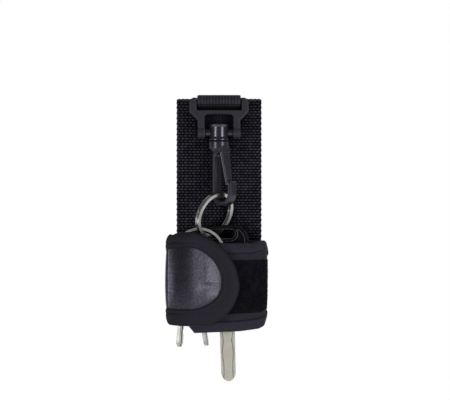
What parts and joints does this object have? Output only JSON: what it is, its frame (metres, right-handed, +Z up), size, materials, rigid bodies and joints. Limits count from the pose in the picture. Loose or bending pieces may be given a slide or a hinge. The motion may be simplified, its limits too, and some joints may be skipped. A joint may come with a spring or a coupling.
{
  "type": "belt key clip",
  "caption": "Webbing belt loop with a swivel snap hook, split rings and keys, and a padded hook-and-loop wrap that folds round the keys.",
  "frame": {"origin": "middle of the tunnel that the belt passes through", "axes": "+Z up, as the clip hangs on the belt; +X to the right seen from the front, along the belt; +Y towards the wearer"},
  "size_m": [0.0601, 0.0333, 0.1671],
  "materials": {
    "webbing": "coarse woven nylon",
    "strap": "ribbed woven nylon",
    "frame_plastic": "satin moulded",
    "hook_plastic": "polished moulded",
    "ring_steel": "nickel plated",
    "key_plastic": "fine texture",
    "key_metal": "worn nickel",
    "wrap_fabric": "padded woven nylon",
    "wrap_binding": "binding tape",
    "patch_vinyl": "pebble grained, satin",
    "loop_pile": "brushed loop",
    "hook_pile": "hook tape"
  },
  "bodies": {
    "belt_loop": {"belt_loop_webbing": "webbing", "hanger_strap": "strap", "wrap_back": "wrap_fabric", "back_binding_top": "wrap_binding", "back_binding_bottom": "wrap_binding"},
    "hook_frame": {"hook_frame": "frame_plastic"},
    "swivel_barrel": {"swivel_barrel": "hook_plastic"},
    "snap_hook": {"snap_hook": "hook_plastic"},
    "gate": {"hook_gate": "hook_plastic"},
    "main_ring": {"main_split_ring": "ring_steel"},
    "left_ring": {"left_split_ring": "ring_steel"},
    "car_key": {"car_key_head": "key_plastic", "car_key_blade": "key_metal"},
    "left_key": {"left_small_key": "key_metal"},
    "middle_key": {"middle_small_key": "key_metal"},
    "flap": {"flap_panel": "wrap_fabric", "flap_patch": "patch_vinyl", "flap_binding": "wrap_binding", "flap_hook_field": "hook_pile"},
    "wing": {"wing_panel": "wrap_fabric", "wing_loop_field": "loop_pile", "wing_binding_top": "wrap_binding", "wing_binding_bottom": "wrap_binding"}
  },
  "joints": [
    {"name": "frame_tilt", "type": "hinge", "parent": "belt_loop", "child": "hook_frame", "pos_m": [0, -0.0136, 0.0262], "axis": [-1, 0, 0], "range_deg": [0, 10]},
    {"name": "barrel_tilt", "type": "hinge", "parent": "hook_frame", "child": "swivel_barrel", "pos_m": [0, -0.0136, 0.0076], "axis": [1, 0, 0], "range_deg": [0, 15.5]},
    {"name": "hook_swivel", "type": "hinge", "parent": "swivel_barrel", "child": "snap_hook", "pos_m": [0, -0.0136, 0], "axis": [0, 0, 1], "range_deg": [-25, 5]},
    {"name": "gate_press", "type": "hinge", "parent": "snap_hook", "child": "gate", "pos_m": [0.00361, -0.01721, -0.005], "axis": [0.7071, 0.7071, 0], "range_deg": [0, 14], "stiffness_Nm_per_rad": 0.05},
    {"name": "main_ring_turn", "type": "hinge", "parent": "belt_loop", "child": "main_ring", "pos_m": [-0.0026, -0.01685, -0.04019], "axis": [-0.6826, 0.6428, 0.3478], "continuous": true},
    {"name": "left_ring_turn", "type": "hinge", "parent": "belt_loop", "child": "left_ring", "pos_m": [-0.01137, -0.0153, -0.0626], "axis": [0, 1, 0], "continuous": true},
    {"name": "car_key_swing", "type": "hinge", "parent": "belt_loop", "child": "car_key", "pos_m": [-0.00408, -0.012, -0.05205], "axis": [0, 1, 0], "range_deg": [-2, 2]},
    {"name": "left_key_swing", "type": "hinge", "parent": "belt_loop", "child": "left_key", "pos_m": [-0.01926, -0.0147, -0.07439], "axis": [0, 1, 0], "range_deg": [-2, 3]},
    {"name": "middle_key_swing", "type": "hinge", "parent": "belt_loop", "child": "middle_key", "pos_m": [-0.0138, -0.0147, -0.07658], "axis": [0, 1, 0], "range_deg": [-2, 3]},
    {"name": "flap_open", "type": "hinge", "parent": "belt_loop", "child": "flap", "pos_m": [-0.0313, -0.0162, 0], "axis": [0, 0, -1], "range_deg": [0, 160]},
    {"name": "wing_open", "type": "hinge", "parent": "belt_loop", "child": "wing", "pos_m": [0.029, -0.01176, 0], "axis": [0, 0, 1], "range_deg": [0, 43.5]}
  ],
  "couplings": [
    {"joint": "barrel_tilt", "follows": "frame_tilt", "ratio": 1.5},
    {"joint": "wing_open", "follows": "flap_open", "ratio": 0.27}
  ]
}
